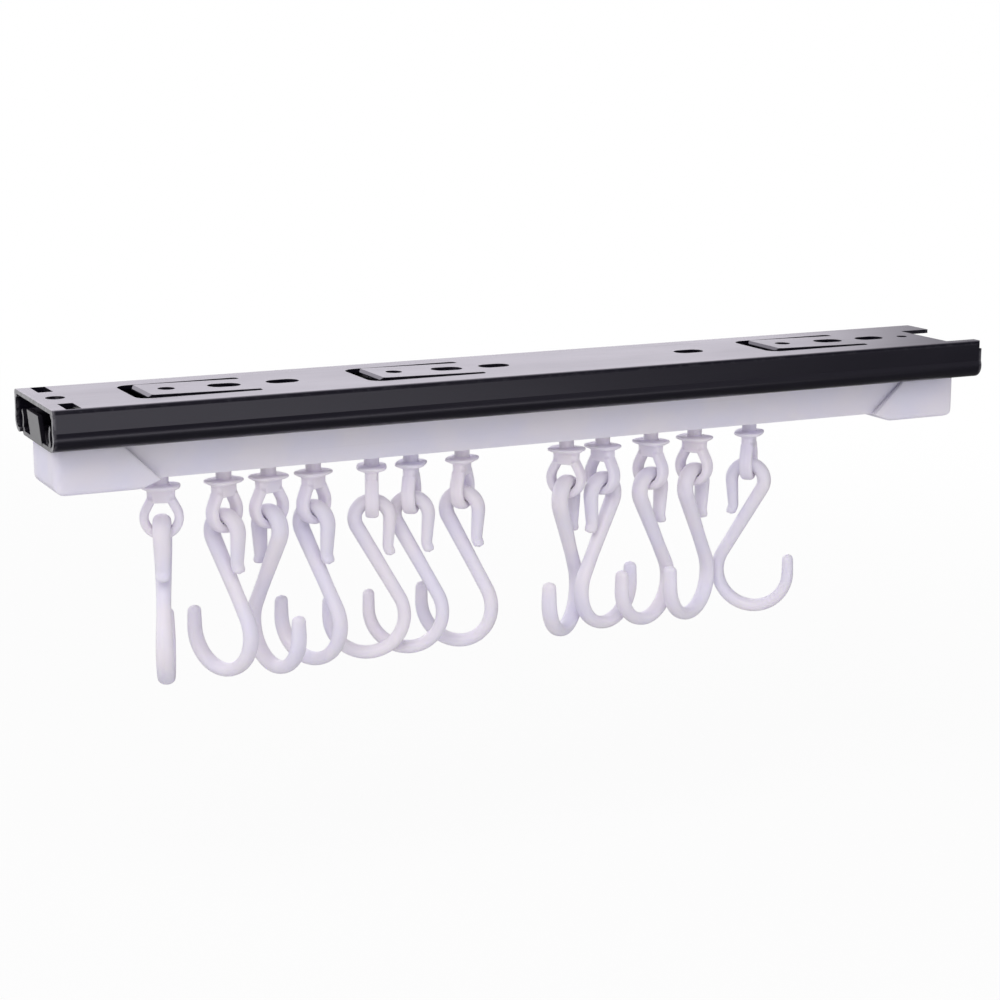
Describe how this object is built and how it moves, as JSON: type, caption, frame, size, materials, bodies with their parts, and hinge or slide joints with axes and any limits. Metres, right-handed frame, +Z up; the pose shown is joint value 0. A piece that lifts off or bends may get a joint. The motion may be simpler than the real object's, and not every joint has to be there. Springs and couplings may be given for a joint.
{
  "type": "sliding hook rail",
  "caption": "Wardrobe hook rail: a ball-bearing slide under a shelf pulls out a white track, along which gliders with swivelling eyelets carry S-hooks.",
  "frame": {"origin": "centre of the outer member's top mounting face, midway between its ends and its two edges", "axes": "+Z up, out of the mounting face towards the shelf; +X along the slide towards its rear end, so the pull-out comes out towards -X; +Y across the slide"},
  "size_m": [0.3003, 0.042, 0.0855],
  "materials": {
    "outer_steel": "satin black paint",
    "inner_steel": "zinc plated, semi matt",
    "cage_steel": "bright zinc",
    "ball_steel": "polished",
    "track_white": "milky, satin",
    "cap_white": "satin",
    "screw_steel": "bright zinc",
    "runner_white": "satin",
    "eyelet_white": "milky, semi gloss",
    "hook_white": "milky, semi gloss"
  },
  "bodies": {
    "slide_body": {"outer_member": "outer_steel"},
    "cage": {"ball_cage": "cage_steel", "bearing_balls": "ball_steel"},
    "pull_out_body": {"inner_member": "inner_steel", "track": "track_white", "front_cap": "cap_white", "rear_cap": "cap_white", "cap_screws": "screw_steel"},
    "runner_01": {"runner_01": "runner_white"},
    "eyelet_01": {"eyelet_01": "eyelet_white"},
    "hook_01": {"hook_01": "hook_white"},
    "runner_02": {"runner_02": "runner_white"},
    "eyelet_02": {"eyelet_02": "eyelet_white"},
    "hook_02": {"hook_02": "hook_white"},
    "runner_03": {"runner_03": "runner_white"},
    "eyelet_03": {"eyelet_03": "eyelet_white"},
    "hook_03": {"hook_03": "hook_white"},
    "runner_04": {"runner_04": "runner_white"},
    "eyelet_04": {"eyelet_04": "eyelet_white"},
    "hook_04": {"hook_04": "hook_white"},
    "runner_05": {"runner_05": "runner_white"},
    "eyelet_05": {"eyelet_05": "eyelet_white"},
    "hook_05": {"hook_05": "hook_white"},
    "runner_06": {"runner_06": "runner_white"},
    "eyelet_06": {"eyelet_06": "eyelet_white"},
    "hook_06": {"hook_06": "hook_white"},
    "runner_07": {"runner_07": "runner_white"},
    "eyelet_07": {"eyelet_07": "eyelet_white"},
    "hook_07": {"hook_07": "hook_white"},
    "runner_08": {"runner_08": "runner_white"},
    "eyelet_08": {"eyelet_08": "eyelet_white"},
    "hook_08": {"hook_08": "hook_white"},
    "runner_09": {"runner_09": "runner_white"},
    "eyelet_09": {"eyelet_09": "eyelet_white"},
    "hook_09": {"hook_09": "hook_white"},
    "runner_10": {"runner_10": "runner_white"},
    "eyelet_10": {"eyelet_10": "eyelet_white"},
    "hook_10": {"hook_10": "hook_white"},
    "runner_11": {"runner_11": "runner_white"},
    "eyelet_11": {"eyelet_11": "eyelet_white"},
    "hook_11": {"hook_11": "hook_white"},
    "runner_12": {"runner_12": "runner_white"},
    "eyelet_12": {"eyelet_12": "eyelet_white"},
    "hook_12": {"hook_12": "hook_white"}
  },
  "joints": [
    {"name": "pull_out", "type": "slide", "parent": "slide_body", "child": "pull_out_body", "axis": [-1, 0, 0], "range_m": [0, 0.2]},
    {"name": "cage_roll", "type": "slide", "parent": "slide_body", "child": "cage", "axis": [-1, 0, 0], "range_m": [0, 0.1]},
    {"name": "glide_01", "type": "slide", "parent": "pull_out_body", "child": "runner_01", "axis": [1, 0, 0], "range_m": [-0.00025, 0.00275]},
    {"name": "swivel_01", "type": "hinge", "parent": "runner_01", "child": "eyelet_01", "pos_m": [-0.1149, 0, -0.022], "axis": [0, 0, 1], "range_deg": [-12, 178]},
    {"name": "swing_01", "type": "hinge", "parent": "eyelet_01", "child": "hook_01", "pos_m": [-0.1149, 0, -0.0424], "axis": [0.9455, -0.3256, 0], "range_deg": [-44, 44]},
    {"name": "glide_02", "type": "slide", "parent": "pull_out_body", "child": "runner_02", "axis": [1, 0, 0], "range_m": [-0.00275, 0.001]},
    {"name": "swivel_02", "type": "hinge", "parent": "runner_02", "child": "eyelet_02", "pos_m": [-0.0964, 0, -0.022], "axis": [0, 0, 1], "range_deg": [-54, 178]},
    {"name": "swing_02", "type": "hinge", "parent": "eyelet_02", "child": "hook_02", "pos_m": [-0.0964, 0, -0.0424], "axis": [-0.891, -0.454, 0], "range_deg": [-44, 44]},
    {"name": "glide_03", "type": "slide", "parent": "pull_out_body", "child": "runner_03", "axis": [1, 0, 0], "range_m": [-0.001, 0.00125]},
    {"name": "swivel_03", "type": "hinge", "parent": "runner_03", "child": "eyelet_03", "pos_m": [-0.083, 0, -0.022], "axis": [0, 0, 1], "range_deg": [-36, 56]},
    {"name": "swing_03", "type": "hinge", "parent": "eyelet_03", "child": "hook_03", "pos_m": [-0.083, 0, -0.0424], "axis": [-0.9613, -0.2756, 0], "range_deg": [-44, 44]},
    {"name": "glide_04", "type": "slide", "parent": "pull_out_body", "child": "runner_04", "axis": [1, 0, 0], "range_m": [-0.00125, 0.00575]},
    {"name": "swivel_04", "type": "hinge", "parent": "runner_04", "child": "eyelet_04", "pos_m": [-0.0693, 0, -0.022], "axis": [0, 0, 1], "range_deg": [-60, 28]},
    {"name": "swing_04", "type": "hinge", "parent": "eyelet_04", "child": "hook_04", "pos_m": [-0.0693, 0, -0.0424], "axis": [0.8746, 0.4848, 0], "range_deg": [-44, 44]},
    {"name": "glide_05", "type": "slide", "parent": "pull_out_body", "child": "runner_05", "axis": [1, 0, 0], "range_m": [-0.00575, 0.00025]},
    {"name": "swivel_05", "type": "hinge", "parent": "runner_05", "child": "eyelet_05", "pos_m": [-0.0512, 0, -0.022], "axis": [0, 0, 1], "range_deg": [-66, 2]},
    {"name": "swing_05", "type": "hinge", "parent": "eyelet_05", "child": "hook_05", "pos_m": [-0.0512, 0, -0.0424], "axis": [-0.3746, -0.9272, 0], "range_deg": [-18, 12]},
    {"name": "glide_06", "type": "slide", "parent": "pull_out_body", "child": "runner_06", "axis": [1, 0, 0], "range_m": [-0.00025, 0.0045]},
    {"name": "swivel_06", "type": "hinge", "parent": "runner_06", "child": "eyelet_06", "pos_m": [-0.0387, 0, -0.022], "axis": [0, 0, 1], "range_deg": [-68, 2]},
    {"name": "swing_06", "type": "hinge", "parent": "eyelet_06", "child": "hook_06", "pos_m": [-0.0387, 0, -0.0424], "axis": [-0.5736, -0.8192, 0], "range_deg": [-18, 44]},
    {"name": "glide_07", "type": "slide", "parent": "pull_out_body", "child": "runner_07", "axis": [1, 0, 0], "range_m": [-0.0045, 0.01375]},
    {"name": "swivel_07", "type": "hinge", "parent": "runner_07", "child": "eyelet_07", "pos_m": [-0.0222, 0, -0.022], "axis": [0, 0, 1], "range_deg": [-74, 34]},
    {"name": "swing_07", "type": "hinge", "parent": "eyelet_07", "child": "hook_07", "pos_m": [-0.0222, 0, -0.0424], "axis": [0.7071, 0.7071, 0], "range_deg": [-44, 44]},
    {"name": "glide_08", "type": "slide", "parent": "pull_out_body", "child": "runner_08", "axis": [1, 0, 0], "range_m": [-0.01375, 0.00075]},
    {"name": "swivel_08", "type": "hinge", "parent": "runner_08", "child": "eyelet_08", "pos_m": [0.0126, 0, -0.022], "axis": [0, 0, 1], "range_deg": [-4, 80]},
    {"name": "swing_08", "type": "hinge", "parent": "eyelet_08", "child": "hook_08", "pos_m": [0.0126, 0, -0.0424], "axis": [0.6561, -0.7547, 0], "range_deg": [-10, 23]},
    {"name": "glide_09", "type": "slide", "parent": "pull_out_body", "child": "runner_09", "axis": [1, 0, 0], "range_m": [-0.00075, 0.002]},
    {"name": "swivel_09", "type": "hinge", "parent": "runner_09", "child": "eyelet_09", "pos_m": [0.025, 0, -0.022], "axis": [0, 0, 1], "range_deg": [-4, 74]},
    {"name": "swing_09", "type": "hinge", "parent": "eyelet_09", "child": "hook_09", "pos_m": [0.025, 0, -0.0424], "axis": [0.342, -0.9397, 0], "range_deg": [-8, 44]},
    {"name": "glide_10", "type": "slide", "parent": "pull_out_body", "child": "runner_10", "axis": [1, 0, 0], "range_m": [-0.002, 0.00225]},
    {"name": "swivel_10", "type": "hinge", "parent": "runner_10", "child": "eyelet_10", "pos_m": [0.0418, 0, -0.022], "axis": [0, 0, 1], "range_deg": [-4, 74]},
    {"name": "swing_10", "type": "hinge", "parent": "eyelet_10", "child": "hook_10", "pos_m": [0.0418, 0, -0.0424], "axis": [-0.3746, 0.9272, 0], "range_deg": [-22, 44]},
    {"name": "glide_11", "type": "slide", "parent": "pull_out_body", "child": "runner_11", "axis": [1, 0, 0], "range_m": [-0.00225, 0.00025]},
    {"name": "swivel_11", "type": "hinge", "parent": "runner_11", "child": "eyelet_11", "pos_m": [0.0573, 0, -0.022], "axis": [0, 0, -1], "range_deg": [-90, 8]},
    {"name": "swing_11", "type": "hinge", "parent": "eyelet_11", "child": "hook_11", "pos_m": [0.0573, 0, -0.0424], "axis": [0.4848, -0.8746, 0], "range_deg": [-44, 0]},
    {"name": "glide_12", "type": "slide", "parent": "pull_out_body", "child": "runner_12", "axis": [1, 0, 0], "range_m": [-0.00025, 0.0365]},
    {"name": "swivel_12", "type": "hinge", "parent": "runner_12", "child": "eyelet_12", "pos_m": [0.0771, 0, -0.022], "axis": [0, 0, 1], "range_deg": [-128, 0]},
    {"name": "swing_12", "type": "hinge", "parent": "eyelet_12", "child": "hook_12", "pos_m": [0.0771, 0, -0.0424], "axis": [0.6691, 0.7431, 0], "range_deg": [-44, 1]}
  ],
  "couplings": [
    {"joint": "cage_roll", "follows": "pull_out", "ratio": 0.5}
  ]
}
